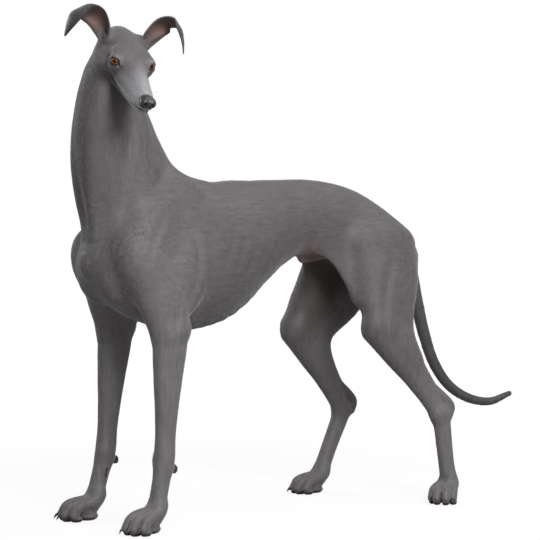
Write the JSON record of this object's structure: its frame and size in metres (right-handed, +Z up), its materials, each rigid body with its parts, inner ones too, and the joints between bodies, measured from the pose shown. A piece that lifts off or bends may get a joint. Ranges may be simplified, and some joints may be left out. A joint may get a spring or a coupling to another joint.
{
  "type": "greyhound",
  "caption": "Life-size standing greyhound with deep chest, arched loin, high head turned to its left, flared ears and low hanging tail; a still display model.",
  "frame": {"origin": "middle of the overall outline, on the floor under the paws", "axes": "+X from tail to chest, the way the body faces; +Y to the animal's left; +Z up"},
  "size_m": [1.1957, 0.4141, 1.0744],
  "materials": {
    "coat": "short blue-grey fur lying flat",
    "nose": "moist pebbled nose leather",
    "eye": "wet amber brown eye",
    "claw": "dark horn"
  },
  "bodies": {
    "root": {"head": "coat", "nose": "nose", "ear_left": "coat", "ear_right": "coat", "eye_left": "eye", "eye_right": "eye", "neck": "coat", "chest": "coat", "loin": "coat", "rump": "coat", "tail_root": "coat", "tail_middle": "coat", "tail_tip": "coat", "fore_left_shoulder": "coat", "fore_left_forearm": "coat", "fore_left_pastern": "coat", "fore_left_paw": "coat", "fore_right_shoulder": "coat", "fore_right_forearm": "coat", "fore_right_pastern": "coat", "fore_right_paw": "coat", "hind_left_thigh": "coat", "hind_left_lower_thigh": "coat", "hind_left_hock": "coat", "hind_left_paw": "coat", "hind_right_thigh": "coat", "hind_right_lower_thigh": "coat", "hind_right_hock": "coat", "hind_right_paw": "coat", "fore_left_claw_1": "claw", "fore_left_claw_2": "claw", "fore_left_claw_3": "claw", "fore_left_claw_4": "claw", "fore_left_dewclaw": "claw", "fore_right_claw_1": "claw", "fore_right_claw_2": "claw", "fore_right_claw_3": "claw", "fore_right_claw_4": "claw", "fore_right_dewclaw": "claw", "hind_left_claw_1": "claw", "hind_left_claw_2": "claw", "hind_left_claw_3": "claw", "hind_left_claw_4": "claw", "hind_right_claw_1": "claw", "hind_right_claw_2": "claw", "hind_right_claw_3": "claw", "hind_right_claw_4": "claw"}
  },
  "joints": []
}
